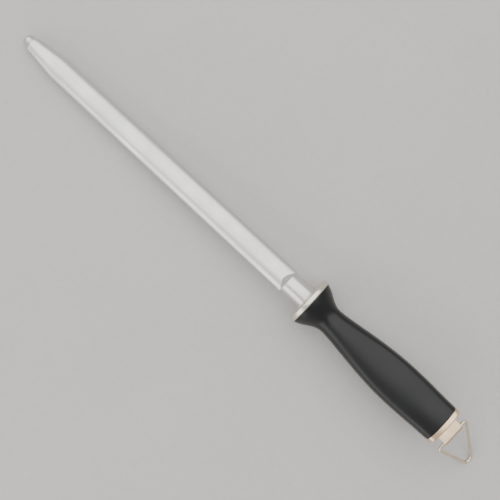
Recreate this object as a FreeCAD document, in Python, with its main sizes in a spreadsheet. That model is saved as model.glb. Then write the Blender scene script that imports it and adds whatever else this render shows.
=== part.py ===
import FreeCAD, Part
import math
import os
import Sketcher

# A butcher's sharpening steel lying on its axis.
# Origin: on the rod's axis, in the plane of the hand guard's front face.
# +X runs along the axis towards the hanging ring, the rod's tip is at -X, and +Z is
# square to the rod's flats.  All sizes are millimetres.

SIZES = (
    # The forged rod: an oval sharpening length, a short taper, a bare tip, a round neck.
    ("rod_length", 298.6, "guard face to the end of the tip"),
    ("oval_half_width", 9.85, "oval at the neck end"),
    ("oval_half_thick", 5.4, "oval at the neck end"),
    ("oval_side_round", 3.2, "radius of the oval's sides"),
    ("oval_thin_half_width", 9.35, "oval where the taper starts"),
    ("oval_thin_half_thick", 5.1, "oval where the taper starts"),
    ("taper_length", 28.0, "length of the taper before the bare tip"),
    ("taper_half_width", 6.15, "end of the taper"),
    ("taper_half_thick", 4.6, "end of the taper"),
    ("tip_length", 7.4, "bare polished tip"),
    ("tip_half_width", 5.4, "bare tip at its root"),
    ("tip_half_thick", 4.2, "bare tip at its root"),
    ("tip_draft", 0.45, "how much narrower the tip is at its end, each side"),
    ("tip_side_round", 3.0, "radius of the taper's and the tip's sides"),
    ("tip_nose_round", 2.9, "rounding of the nose"),
    ("neck_radius", 8.9, "round neck in front of the guard"),
    ("neck_length", 18.7, "guard face to the shoulder of the oval"),
    ("neck_cone_length", 5.0, "cone that runs the neck out onto the oval's flats"),
    ("neck_cone_radius", 5.0, "small end of that cone"),
    # The tang: a round seat in the guard, a square length in the handle, a threaded end.
    ("seat_radius", 7.0, "round seat that passes the guard"),
    ("seat_reach", 2.5, "how far the seat goes into the handle"),
    ("tang_side", 9.0, "square tang"),
    ("thread_radius", 4.0, "M8, at the thread's outer diameter"),
    ("thread_length", 19.0, "threaded end of the tang"),
    # The hand guard.
    ("guard_radius", 19.2, "outside of the disc"),
    ("guard_thick", 4.4, "disc thickness"),
    ("guard_rim_round", 1.5, "rounding of the rim, both sides"),
    ("neck_socket_depth", 1.6, "recess that takes the neck's shoulder"),
    ("boss_radius", 11.6, "low boss round the neck"),
    ("boss_height", 0.9, "boss in front of the face"),
    ("boss_round", 0.5, "edge of the boss"),
    # The moulded handle, station by station: place behind the guard, half width,
    # half thickness, and roundness (1 is a circle, small is a box with soft corners).
    ("collar_half_width", 18.7, "handle against the guard"),
    ("collar_half_thick", 18.6, "handle against the guard"),
    ("collar_roundness", 0.93, "handle against the guard"),
    ("flare_at", 6.9, "flare"),
    ("flare_half_width", 15.5, "flare"),
    ("flare_half_thick", 15.2, "flare"),
    ("flare_roundness", 0.92, "flare"),
    ("throat_at", 13.2, "throat"),
    ("throat_half_width", 11.7, "throat"),
    ("throat_half_thick", 11.4, "throat"),
    ("throat_roundness", 0.9, "throat"),
    ("waist_at", 20.6, "waist, for the first finger and thumb"),
    ("waist_half_width", 10.2, "waist"),
    ("waist_half_thick", 10.0, "waist"),
    ("waist_roundness", 0.82, "waist"),
    ("rise_at", 40.0, "rise to the palm"),
    ("rise_half_width", 12.6, "rise to the palm"),
    ("rise_half_thick", 11.3, "rise to the palm"),
    ("rise_roundness", 0.6, "rise to the palm"),
    ("palm_at", 62.0, "palm"),
    ("palm_half_width", 15.4, "palm"),
    ("palm_half_thick", 12.3, "palm"),
    ("palm_roundness", 0.45, "palm"),
    ("swell_at", 92.0, "widest place"),
    ("swell_half_width", 16.6, "widest place"),
    ("swell_half_thick", 12.8, "widest place"),
    ("swell_roundness", 0.4, "widest place"),
    ("handle_length", 124.6, "guard to the end cap"),
    ("butt_half_thick", 11.6, "handle at the end cap"),
    ("butt_roundness", 0.4, "handle at the end cap"),
    # What holds the handle on the tang.
    ("nut_pocket_radius", 8.6, "pocket for washer and nut, open at the rear"),
    ("nut_pocket_depth", 32.0, "pocket depth from the handle's rear shoulder"),
    ("washer_radius", 8.0, "M8 washer"),
    ("washer_thick", 1.6, "M8 washer"),
    ("nut_flats", 13.0, "M8 nut across flats"),
    ("nut_thick", 6.5, "M8 nut"),
    ("nut_chamfer", 0.8, "M8 nut, depth of the corner chamfer"),
    # The pressed end cap and its screws.
    ("cap_depth", 4.0, "skirt and plate together"),
    ("cap_plate", 1.5, "thickness of the rear plate"),
    ("cap_wall", 1.2, "thickness of the skirt"),
    ("cap_edge_round", 1.0, "pressed edge of the cap"),
    ("screw_beyond_strap", 3.4, "from the strap's edge to a screw's axis"),
    ("butt_beyond_screw", 3.3, "from a screw's axis to the side of the handle and cap"),
    ("screw_head_radius", 2.2, "round head"),
    ("screw_head_height", 1.2, "round head"),
    ("screw_shank_radius", 1.3, "shank"),
    ("screw_length", 12.0, "under the head"),
    ("screw_point", 2.0, "pointed end"),
    ("screw_slot_width", 0.6, "driver slot"),
    ("screw_slot_depth", 0.5, "driver slot"),
    # The folded strap and the wire ring.
    ("strap_half_width", 8.8, "folded strap"),
    ("strap_thick", 1.2, "strap sheet"),
    ("strap_reach", 10.9, "cap face to the strap's fold"),
    ("strap_tab", 3.4, "tab turned out behind the cap plate"),
    ("strap_bend", 0.8, "outside radius of the tab's bend"),
    ("strap_corner", 1.6, "rounded corners of the fold, seen from above"),
    ("wire_radius", 1.1, "ring wire"),
    ("ring_length", 41.1, "pivot to the end of the ring, at the wire's centre"),
    ("ring_high_side", 4.1, "wire centre beyond the strap's edge on the +Y side"),
    ("ring_low_side", 6.1, "wire centre beyond the strap's edge on the -Y side"),
    ("ring_low_setback", 3.2, "far corner on the -Y side, from the pivot"),
    ("ring_leg_gap", 0.45, "from the strap's edge to where the -Y end starts to turn"),
    ("ring_corner_round", 2.0, "bends beside the strap, at the wire's centre"),
    ("ring_apex_round", 4.0, "bend at the far end, at the wire's centre"),
    ("ring_apex_offset", 5.8, "far bend's centre, towards -Y"),
    ("ring_wire_gap", 0.2, "half the gap between the wire's two ends"),
    # Clearances.
    ("fit_gap", 0.05, "between pieces that are pushed together by hand"),
    ("wire_gap", 0.08, "between the wire and the strap, each side"),
    ("slot_gap", 0.15, "round the strap in the cap's slot and round the nut"),
)

FLARE_STATIONS = ("flare", "throat")
PALM_STATIONS = ("rise", "palm", "swell")

# Two places, lengths or volumes closer than this are taken as the same.
SAME = 1e-3
# The share of the screw head's height that its domed edge takes up.
DOME_SHARE = 0.9
# The chamfer at the thread's end, as a share of the thread's radius.
THREAD_LEAD_SHARE = 0.2
FULL_TURN = 360


class Size:
    """A length that carries both its value and the formula that gives it."""

    def __init__(self, value, text):
        self.value = value
        self.text = text

    @staticmethod
    def of(other):
        if isinstance(other, Size):
            return other
        return Size(float(other), repr(float(other)))

    def join(self, other, sign, value):
        return Size(value, "(" + self.text + " " + sign + " " + other.text + ")")

    def __add__(self, other):
        other = Size.of(other)
        return self.join(other, "+", self.value + other.value)

    def __sub__(self, other):
        other = Size.of(other)
        return self.join(other, "-", self.value - other.value)

    def __mul__(self, other):
        other = Size.of(other)
        return self.join(other, "*", self.value * other.value)

    def __truediv__(self, other):
        other = Size.of(other)
        return self.join(other, "/", self.value / other.value)

    def __neg__(self):
        return Size.of(0) - self


def arc_sine(ratio):
    """The angle, in degrees, whose sine is the given ratio."""
    return Size(math.degrees(math.asin(ratio.value)), "asin(" + ratio.text + ")")


doc = FreeCAD.newDocument("sharpening_steel")
sheet = doc.addObject("Spreadsheet::Sheet", "Sizes")
for row, (alias, number, note) in enumerate(SIZES, start=1):
    sheet.set("A" + str(row), alias)
    sheet.set("B" + str(row), str(number))
    sheet.set("C" + str(row), note)
    sheet.setAlias("B" + str(row), alias)
doc.recompute()


def size(alias):
    """A driving dimension, read from its cell."""
    return Size(float(sheet.get(alias)), "Sizes." + alias)


ZERO = Size(0.0, "0")
guard_back = size("guard_thick")
handle_end = guard_back + size("handle_length")
cap_face = handle_end + size("cap_depth")
plate_inside = cap_face - size("cap_plate")
strap_inside = size("wire_radius") + size("wire_gap")
strap_outside = strap_inside + size("strap_thick")
tab_reach = strap_outside + size("strap_tab")
pivot_x = cap_face + size("strap_reach") - strap_outside
nut_floor = handle_end - size("nut_pocket_depth")
tang_start = guard_back + size("seat_reach")
tang_shoulder = nut_floor - size("fit_gap")
screw_offset = size("strap_half_width") + size("screw_beyond_strap")
butt_half_width = screw_offset + size("butt_beyond_screw")


# ---------------------------------------------------------------- building helpers


def bind(thing, prop, amount):
    """Set a property from a size, and keep it bound to the sheet."""
    thing.setExpression(prop, amount.text)


def new_body(name):
    body = doc.addObject("PartDesign::Body", name)
    body.Label = name
    return body


def new_sketch(body, name, role, offset=ZERO):
    """A sketch on one of the body's own origin planes, moved along its normal."""
    plane = [item for item in body.Origin.OriginFeatures if item.Role == role][0]
    sketch = body.newObject("Sketcher::SketchObject", name)
    sketch.AttachmentSupport = [(plane, "")]
    sketch.MapMode = "FlatFace"
    bind(sketch, "AttachmentOffset.Base.z", offset)
    return sketch


def hold(sketch, kind, item, point, amount):
    """Hold one point of a sketch at a size from the sketch's own centre."""
    if abs(amount.value) < SAME:
        axis = -2 if kind == "DistanceX" else -1
        sketch.addConstraint(Sketcher.Constraint("PointOnObject", item, point, axis))
        return
    index = sketch.addConstraint(Sketcher.Constraint(kind, item, point, amount.value))
    bind(sketch, "Constraints[" + str(index) + "]", amount)


def hold_radius(sketch, item, amount):
    index = sketch.addConstraint(Sketcher.Constraint("Radius", item, amount.value))
    bind(sketch, "Constraints[" + str(index) + "]", amount)


def add_line(sketch, start, end):
    first = FreeCAD.Vector(start[0].value, start[1].value, 0)
    last = FreeCAD.Vector(end[0].value, end[1].value, 0)
    return sketch.addGeometry(Part.LineSegment(first, last), False)


def add_arc(sketch, centre_x, centre_y, radius, start_deg, end_deg):
    """An anticlockwise arc; its angles are only a start for the sketch's solver."""
    centre = FreeCAD.Vector(centre_x, centre_y, 0)
    circle = Part.Circle(centre, FreeCAD.Vector(0, 0, 1), radius)
    start = math.radians(start_deg)
    end = math.radians(end_deg)
    return sketch.addGeometry(Part.ArcOfCircle(circle, start, end), False)


def add_circle(sketch, centre_x, centre_y, radius):
    centre = FreeCAD.Vector(centre_x.value, centre_y.value, 0)
    circle = Part.Circle(centre, FreeCAD.Vector(0, 0, 1), radius.value)
    item = sketch.addGeometry(circle, False)
    hold(sketch, "DistanceX", item, 3, centre_x)
    hold(sketch, "DistanceY", item, 3, centre_y)
    hold_radius(sketch, item, radius)


def add_outline(sketch, corners):
    """A closed outline of straight lines, each corner held by its two sizes."""
    items = []
    for here, after in zip(corners, corners[1:] + corners[:1]):
        items.append(add_line(sketch, here, after))
    for first, second in zip(items, items[1:] + items[:1]):
        sketch.addConstraint(Sketcher.Constraint("Coincident", first, 2, second, 1))
    for item, (across, up) in zip(items, corners):
        hold(sketch, "DistanceX", item, 1, across)
        hold(sketch, "DistanceY", item, 1, up)


def add_box(sketch, low_x, low_y, high_x, high_y):
    add_outline(sketch, [(low_x, low_y), (high_x, low_y), (high_x, high_y), (low_x, high_y)])


def join_smoothly(sketch, items):
    """Join each item's end to the next one's start, with no corner."""
    for first, second in zip(items, items[1:] + items[:1]):
        sketch.addConstraint(Sketcher.Constraint("Tangent", first, 2, second, 1))


def revolve(body, name, sketch):
    feature = body.newObject("PartDesign::Revolution", name)
    feature.Profile = sketch
    feature.ReferenceAxis = (sketch, ["H_Axis"])
    feature.Angle = FULL_TURN
    doc.recompute()
    return feature


def pad(body, name, sketch, length):
    """Material from the sketch towards its normal."""
    feature = body.newObject("PartDesign::Pad", name)
    feature.Profile = sketch
    bind(feature, "Length", length)
    doc.recompute()
    return feature


def loft(body, name, sections, ruled):
    feature = body.newObject("PartDesign::AdditiveLoft", name)
    feature.Profile = sections[0]
    feature.Sections = sections[1:]
    feature.Ruled = ruled
    doc.recompute()
    return feature


def cut(body, name, sketch, depth):
    """Remove the sketch's outline from its plane towards its normal."""
    before = body.Shape.Volume
    feature = body.newObject("PartDesign::Pocket", name)
    feature.Profile = sketch
    feature.Reversed = True
    bind(feature, "Length", depth)
    doc.recompute()
    if not 0 < body.Shape.Volume < before - SAME:
        raise RuntimeError(name + " didn't cut as it should")
    return feature


def round_edges(body, name, base, edges, radius):
    feature = body.newObject("PartDesign::Fillet", name)
    feature.Base = (base, edges)
    bind(feature, "Radius", radius)
    doc.recompute()
    return feature


def edges_in_plane(feature, along_x):
    """Names of the edges that lie in the plane at this place along the axis."""
    names = []
    for number, edge in enumerate(feature.Shape.Edges, start=1):
        box = edge.BoundBox
        if max(abs(box.XMin - along_x.value), abs(box.XMax - along_x.value)) < SAME:
            names.append("Edge" + str(number))
    return names


def circles_of(feature, along_x, radius):
    """Names of the round edges of one radius in one plane square to the axis."""
    names = []
    for name in edges_in_plane(feature, along_x):
        box = feature.Shape.getElement(name).BoundBox
        if abs(box.YLength - 2 * radius.value) < SAME:
            names.append(name)
    return names


# ---------------------------------------------------------------- cross-sections


def oval_section(body, name, at, half_width, half_thick, side_round):
    """An oval of four arcs: two tight sides and two long flats that meet smoothly."""
    reach = half_width - side_round
    flat_round = (reach * reach + half_thick * half_thick - side_round * side_round) / (
        (half_thick - side_round) * 2
    )
    sketch = new_sketch(body, name, "YZ_Plane", at)
    drop = flat_round.value - half_thick.value
    turn = math.degrees(math.atan2(drop, reach.value))
    side = side_round.value
    flat = flat_round.value
    right = add_arc(sketch, reach.value, 0, side, -turn, turn)
    top = add_arc(sketch, 0, -drop, flat, turn, 180 - turn)
    left = add_arc(sketch, -reach.value, 0, side, 180 - turn, 180 + turn)
    bottom = add_arc(sketch, 0, drop, flat, 180 + turn, 360 - turn)
    join_smoothly(sketch, [right, top, left, bottom])
    hold(sketch, "DistanceX", right, 3, reach)
    hold(sketch, "DistanceX", left, 3, -reach)
    hold(sketch, "DistanceY", right, 3, ZERO)
    hold(sketch, "DistanceY", left, 3, ZERO)
    hold_radius(sketch, right, side_round)
    hold_radius(sketch, left, side_round)
    hold_radius(sketch, top, flat_round)
    hold_radius(sketch, bottom, flat_round)
    return sketch


def corner_centre(half_width, half_thick, corner, side, crown):
    """Where a corner arc's centre lies, if it meets the side and the crown smoothly."""
    side_x = half_width - side
    crown_y = half_thick - crown
    gap = math.hypot(side_x, crown_y)
    to_side = side - corner
    to_crown = crown - corner
    along = (to_side**2 - to_crown**2 + gap**2) / (2 * gap)
    off = math.sqrt(to_side**2 - along**2)
    unit_x = -side_x / gap
    unit_y = crown_y / gap
    return (side_x + along * unit_x - off * unit_y, along * unit_y + off * unit_x)


def grip_section(body, name, at, half_width, half_thick, roundness, inset=ZERO):
    """A crowned rounded rectangle of eight arcs, or its outline an even inset smaller."""
    corner = half_thick * roundness
    side = half_thick / roundness
    crown = half_width / roundness
    middle = corner_centre(
        half_width.value, half_thick.value, corner.value, side.value, crown.value
    )
    side_x = half_width - side
    crown_y = half_thick - crown
    low = math.degrees(math.atan2(middle[1], middle[0] - side_x.value))
    high = math.degrees(math.atan2(middle[1] - crown_y.value, middle[0]))
    side = side - inset
    crown = crown - inset
    corner = corner - inset
    cx, cy = middle
    sketch = new_sketch(body, name, "YZ_Plane", at)
    arcs = [
        add_arc(sketch, side_x.value, 0, side.value, -low, low),
        add_arc(sketch, cx, cy, corner.value, low, high),
        add_arc(sketch, 0, crown_y.value, crown.value, high, 180 - high),
        add_arc(sketch, -cx, cy, corner.value, 180 - high, 180 - low),
        add_arc(sketch, -side_x.value, 0, side.value, 180 - low, 180 + low),
        add_arc(sketch, -cx, -cy, corner.value, 180 + low, 180 + high),
        add_arc(sketch, 0, -crown_y.value, crown.value, 180 + high, 360 - high),
        add_arc(sketch, cx, -cy, corner.value, 360 - high, 360 - low),
    ]
    join_smoothly(sketch, arcs)
    for item, sign in ((arcs[0], 1), (arcs[4], -1)):
        hold(sketch, "DistanceX", item, 3, side_x * sign)
        hold(sketch, "DistanceY", item, 3, ZERO)
        hold_radius(sketch, item, side)
    for item, sign in ((arcs[2], 1), (arcs[6], -1)):
        hold(sketch, "DistanceX", item, 3, ZERO)
        hold(sketch, "DistanceY", item, 3, crown_y * sign)
        hold_radius(sketch, item, crown)
    for item in arcs[1::2]:
        hold_radius(sketch, item, corner)
    return sketch


def station_section(body, station):
    """The handle's outline at one of its named stations behind the guard."""
    return grip_section(
        body, "section_" + station, guard_back + size(station + "_at"),
        size(station + "_half_width"), size(station + "_half_thick"),
        size(station + "_roundness"),
    )


def butt_section(body, name, at, inset=ZERO):
    """The handle's outline at its rear end, which the end cap shares."""
    return grip_section(
        body, name, at, butt_half_width, size("butt_half_thick"),
        size("butt_roundness"), inset,
    )


# ---------------------------------------------------------------- the pieces


def make_steel_rod():
    """The forged rod, one piece from the bare tip to the threaded end of the tang."""
    body = new_body("steel_rod")
    tip_end = -size("rod_length")
    tip_root = tip_end + size("tip_length")
    taper_start = tip_root + size("taper_length")
    shoulder = -size("neck_length")
    oval = oval_section(
        body, "oval_at_neck", shoulder,
        size("oval_half_width"), size("oval_half_thick"), size("oval_side_round"),
    )
    thin = oval_section(
        body, "oval_at_taper", taper_start,
        size("oval_thin_half_width"), size("oval_thin_half_thick"), size("oval_side_round"),
    )
    taper = oval_section(
        body, "taper_end", tip_root,
        size("taper_half_width"), size("taper_half_thick"), size("tip_side_round"),
    )
    root = oval_section(
        body, "tip_root", tip_root,
        size("tip_half_width"), size("tip_half_thick"), size("tip_side_round"),
    )
    nose = oval_section(
        body, "tip_nose", tip_end,
        size("tip_half_width") - size("tip_draft"),
        size("tip_half_thick") - size("tip_draft"), size("tip_side_round"),
    )
    loft(body, "oval_length", [oval, thin], True)
    loft(body, "taper", [thin, taper], True)
    bare_tip = loft(body, "bare_tip", [root, nose], True)
    round_edges(
        body, "rounded_nose", bare_tip, edges_in_plane(bare_tip, tip_end),
        size("tip_nose_round"),
    )
    neck = new_sketch(body, "neck_profile", "XY_Plane")
    cone_start = shoulder - size("neck_cone_length")
    add_outline(neck, [
        (cone_start, ZERO),
        (tang_start, ZERO),
        (tang_start, size("seat_radius")),
        (size("neck_socket_depth"), size("seat_radius")),
        (size("neck_socket_depth"), size("neck_radius")),
        (shoulder, size("neck_radius")),
        (cone_start, size("neck_cone_radius")),
    ])
    revolve(body, "neck_and_seat", neck)
    half_side = size("tang_side") / 2
    tang = new_sketch(body, "tang_outline", "YZ_Plane", tang_start)
    add_box(tang, -half_side, -half_side, half_side, half_side)
    pad(body, "square_tang", tang, tang_shoulder - tang_start)
    thread = new_sketch(body, "thread_outline", "YZ_Plane", tang_shoulder)
    add_circle(thread, ZERO, ZERO, size("thread_radius"))
    threaded_end = pad(body, "threaded_end", thread, size("thread_length"))
    thread_end = tang_shoulder + size("thread_length")
    lead = body.newObject("PartDesign::Chamfer", "thread_lead")
    lead.Base = (threaded_end, circles_of(threaded_end, thread_end, size("thread_radius")))
    bind(lead, "Size", size("thread_radius") * THREAD_LEAD_SHARE)
    return body


def make_hand_guard():
    """The turned disc: a flat front face, a low boss round the neck, rounded rim."""
    body = new_body("hand_guard")
    bore = size("seat_radius") + size("fit_gap")
    socket = size("neck_radius") + size("fit_gap")
    profile = new_sketch(body, "disc_profile", "XY_Plane")
    add_outline(profile, [
        (guard_back, bore),
        (guard_back, size("guard_radius")),
        (ZERO, size("guard_radius")),
        (ZERO, size("boss_radius")),
        (-size("boss_height"), size("boss_radius")),
        (-size("boss_height"), socket),
        (size("neck_socket_depth"), socket),
        (size("neck_socket_depth"), bore),
    ])
    disc = revolve(body, "disc", profile)
    rim = circles_of(disc, ZERO, size("guard_radius"))
    rim += circles_of(disc, guard_back, size("guard_radius"))
    rounded = round_edges(body, "rounded_rim", disc, rim, size("guard_rim_round"))
    edge = circles_of(rounded, -size("boss_height"), size("boss_radius"))
    round_edges(body, "rounded_boss", rounded, edge, size("boss_round"))
    return body


def make_handle_grip():
    """The moulded handle: round against the guard, waisted, then a flattened swell."""
    body = new_body("handle_grip")
    collar = grip_section(
        body, "section_collar", guard_back, size("collar_half_width"),
        size("collar_half_thick"), size("collar_roundness"),
    )
    waist = station_section(body, "waist")
    butt = butt_section(body, "section_butt", handle_end)
    flare = [station_section(body, station) for station in FLARE_STATIONS]
    palm = [station_section(body, station) for station in PALM_STATIONS]
    loft(body, "flared_front", [collar] + flare + [waist], False)
    loft(body, "palm_swell", [waist] + palm + [butt], False)
    spigot_end = plate_inside - size("fit_gap")
    inset = size("cap_wall") + size("fit_gap")
    spigot = butt_section(body, "spigot_outline", handle_end, inset)
    pad(body, "cap_spigot", spigot, spigot_end - handle_end)
    seat = new_sketch(body, "seat_hole", "YZ_Plane", guard_back)
    add_circle(seat, ZERO, ZERO, size("seat_radius") + size("fit_gap"))
    cut(body, "seat_counterbore", seat, size("seat_reach") + size("fit_gap"))
    half_side = size("tang_side") / 2 + size("fit_gap")
    tang = new_sketch(body, "tang_hole", "YZ_Plane", guard_back)
    add_box(tang, -half_side, -half_side, half_side, half_side)
    cut(body, "square_bore", tang, spigot_end - guard_back)
    nut = new_sketch(body, "nut_hole", "YZ_Plane", nut_floor)
    add_circle(nut, ZERO, ZERO, size("nut_pocket_radius"))
    cut(body, "nut_pocket", nut, spigot_end - nut_floor)
    recess_floor = plate_inside - size("strap_thick") - size("slot_gap")
    half_wide = size("strap_half_width") + size("slot_gap")
    half_high = tab_reach + size("slot_gap")
    recess = new_sketch(body, "tab_hole", "YZ_Plane", recess_floor)
    add_box(recess, -half_wide, -half_high, half_wide, half_high)
    cut(body, "tab_recess", recess, spigot_end - recess_floor)
    pilot_floor = cap_face - size("screw_length") - size("fit_gap")
    pilots = new_sketch(body, "screw_pilots", "YZ_Plane", pilot_floor)
    for side in (screw_offset, -screw_offset):
        add_circle(pilots, side, ZERO, size("screw_shank_radius"))
    cut(body, "screw_holes", pilots, spigot_end - pilot_floor)
    return body


def make_tang_washer():
    """A flat washer between the nut and the floor of the handle's pocket."""
    body = new_body("tang_washer")
    outline = new_sketch(body, "washer_outline", "YZ_Plane", nut_floor)
    add_circle(outline, ZERO, ZERO, size("washer_radius"))
    add_circle(outline, ZERO, ZERO, size("thread_radius") + size("slot_gap"))
    pad(body, "washer", outline, size("washer_thick"))
    return body


def make_tang_nut():
    """The hexagon nut that pulls guard and handle up to the neck's shoulder."""
    body = new_body("tang_nut")
    near = nut_floor + size("washer_thick")
    half_flats = size("nut_flats") / 2
    corner = half_flats / math.cos(math.radians(30))
    half_edge = corner / 2
    outline = new_sketch(body, "hexagon", "YZ_Plane", near)
    add_outline(outline, [
        (half_edge, half_flats),
        (-half_edge, half_flats),
        (-corner, ZERO),
        (-half_edge, -half_flats),
        (half_edge, -half_flats),
        (corner, ZERO),
    ])
    pad(body, "hexagon_block", outline, size("nut_thick"))
    far = near + size("nut_thick")
    chamfer = size("nut_chamfer")
    ring = new_sketch(body, "corner_cut", "XY_Plane")
    clear = corner + chamfer
    add_outline(ring, [(far - chamfer, corner), (far, corner - chamfer), (far, clear)])
    groove = body.newObject("PartDesign::Groove", "chamfered_corners")
    groove.Profile = ring
    groove.ReferenceAxis = (ring, ["H_Axis"])
    groove.Angle = FULL_TURN
    doc.recompute()
    thread = new_sketch(body, "thread_hole", "YZ_Plane", near)
    add_circle(thread, ZERO, ZERO, size("thread_radius"))
    cut(body, "threaded_hole", thread, size("nut_thick"))
    return body


def make_end_cap():
    """The pressed steel cup over the handle's end, with a slot for the strap."""
    body = new_body("end_cap")
    outline = butt_section(body, "cap_outline", handle_end)
    block = pad(body, "cap_block", outline, size("cap_depth"))
    rounded = round_edges(
        body, "pressed_edge", block, edges_in_plane(block, cap_face),
        size("cap_edge_round"),
    )
    inside = butt_section(body, "cap_inside", handle_end, size("cap_wall"))
    cut(body, "cap_hollow", inside, plate_inside - handle_end)
    half_wide = size("strap_half_width") + size("slot_gap")
    half_high = strap_outside + size("slot_gap")
    slot = new_sketch(body, "slot_outline", "YZ_Plane", handle_end)
    add_box(slot, -half_wide, -half_high, half_wide, half_high)
    cut(body, "strap_slot", slot, size("cap_depth"))
    holes = new_sketch(body, "cap_hole_outlines", "YZ_Plane", handle_end)
    for side in (screw_offset, -screw_offset):
        add_circle(holes, side, ZERO, size("screw_shank_radius") + size("slot_gap"))
    cut(body, "cap_holes", holes, size("cap_depth"))
    return body


def make_cap_screws():
    """Two round-head wood screws, drawn with plain shanks, that hold the cap on."""
    body = new_body("cap_screw")
    head = size("screw_head_radius")
    dome_end = cap_face + size("screw_head_height")
    root = cap_face - size("screw_length")
    profile = new_sketch(body, "screw_profile", "XY_Plane")
    add_outline(profile, [
        (root, ZERO),
        (root + size("screw_point"), size("screw_shank_radius")),
        (cap_face, size("screw_shank_radius")),
        (cap_face, head),
        (dome_end, head),
        (dome_end, ZERO),
    ])
    screw = revolve(body, "screw", profile)
    rim = circles_of(screw, dome_end, head)
    round_edges(body, "domed_head", screw, rim, size("screw_head_height") * DOME_SHARE)
    slot = new_sketch(body, "driver_slot", "YZ_Plane", dome_end - size("screw_slot_depth"))
    half_slot = size("screw_slot_width") / 2
    add_box(slot, -head, -half_slot, head, half_slot)
    cut(body, "slotted_head", slot, size("screw_slot_depth"))
    bind(body, "Placement.Base.y", screw_offset)
    twin = doc.addObject("Part::Mirroring", "cap_screw_twin")
    twin.Source = body
    twin.Normal = FreeCAD.Vector(0, 1, 0)
    pair = doc.addObject("Part::Compound", "cap_screws")
    pair.Links = [body, twin]
    pair.Label = "cap_screws"
    doc.recompute()
    return pair


def make_ring_strap():
    """A strip folded round the ring's wire, its ends turned out behind the cap."""
    body = new_body("ring_strap")
    inner = strap_inside
    outer = strap_outside
    fold_x = pivot_x
    tab_front = plate_inside - size("strap_thick")
    top = tab_reach
    sketch = new_sketch(body, "strap_profile", "XZ_Plane")
    upper = [(fold_x, outer), (plate_inside, outer), (plate_inside, top)]
    upper += [(tab_front, top), (tab_front, inner), (fold_x, inner)]
    lower = [(across, -up) for across, up in reversed(upper)]
    legs = []
    for corners in (upper, lower):
        lines = [add_line(sketch, *pair) for pair in zip(corners, corners[1:])]
        for first, second in zip(lines, lines[1:]):
            sketch.addConstraint(Sketcher.Constraint("Coincident", first, 2, second, 1))
        for line, (across, up) in zip(lines, corners):
            hold(sketch, "DistanceX", line, 1, across)
            hold(sketch, "DistanceY", line, 1, up)
        hold(sketch, "DistanceX", lines[-1], 2, corners[-1][0])
        hold(sketch, "DistanceY", lines[-1], 2, corners[-1][1])
        legs.append(lines)
    inside = add_arc(sketch, fold_x.value, 0, inner.value, -90, 90)
    outside = add_arc(sketch, fold_x.value, 0, outer.value, -90, 90)
    ends = ((inside, 2, legs[0][-1], 2), (inside, 1, legs[1][0], 1))
    ends += ((outside, 2, legs[0][0], 1), (outside, 1, legs[1][-1], 2))
    for arc, point, line, end in ends:
        sketch.addConstraint(Sketcher.Constraint("Coincident", arc, point, line, end))
    for arc in (inside, outside):
        hold(sketch, "DistanceX", arc, 3, fold_x)
    strip = body.newObject("PartDesign::Pad", "folded_strip")
    strip.Profile = sketch
    strip.Midplane = True
    bind(strip, "Length", size("strap_half_width") * 2)
    doc.recompute()
    bends = []
    for number, edge in enumerate(strip.Shape.Edges, start=1):
        box = edge.BoundBox
        at_bend = abs(box.XMax - tab_front.value) < SAME
        at_leg = abs(abs(box.Center.z) - inner.value) < SAME
        if at_bend and at_leg and box.YLength > size("strap_half_width").value:
            bends.append("Edge" + str(number))
    round_edges(body, "bent_tabs", strip, bends, size("strap_bend"))
    clear = outer + size("strap_corner")
    corners = new_sketch(body, "fold_corners", "XY_Plane", -clear)
    fold_end = fold_x + outer
    for sign in (1, -1):
        add_strap_corner(corners, fold_end, size("strap_half_width") * sign, sign)
    cut(body, "rounded_fold", corners, clear * 2)
    return body


def add_strap_corner(sketch, far, side, sign):
    """The scrap outside a quarter round at one corner of the strap's fold."""
    corner = size("strap_corner")
    back = far - corner
    inward = side - corner * sign
    first = add_line(sketch, (back, side), (far, side))
    second = add_line(sketch, (far, side), (far, inward))
    start = 0 if sign > 0 else -90
    arc = add_arc(sketch, back.value, inward.value, corner.value, start, start + 90)
    near_end, far_end = (2, 1) if sign > 0 else (1, 2)
    sketch.addConstraint(Sketcher.Constraint("Coincident", first, 2, second, 1))
    sketch.addConstraint(Sketcher.Constraint("Coincident", second, 2, arc, far_end))
    sketch.addConstraint(Sketcher.Constraint("Coincident", first, 1, arc, near_end))
    hold(sketch, "DistanceX", first, 2, far)
    hold(sketch, "DistanceY", first, 2, side)
    hold(sketch, "DistanceX", arc, 3, back)
    hold(sketch, "DistanceY", arc, 3, inward)
    hold(sketch, "DistanceX", first, 1, back)
    hold(sketch, "DistanceY", second, 2, inward)
    hold_radius(sketch, arc, corner)


def ring_lean():
    """How far the ring hangs below the axis when the steel lies on a table.

    The steel then touches the table at the guard's rim and at the bare tip, and the
    ring's far end rests on the same plane."""
    rim_x = size("guard_thick") / 2
    tip_x = size("rod_length") - size("tip_nose_round")
    tip_low = size("tip_half_thick") - size("tip_draft")
    slope = arc_sine((size("guard_radius") - tip_low) / (rim_x + tip_x))
    rise = (size("guard_radius") - tip_low) / (rim_x + tip_x)
    pivot_height = size("guard_radius") + (pivot_x - rim_x) * rise
    return arc_sine((pivot_height - size("wire_radius")) / size("ring_length")) + slope


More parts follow.
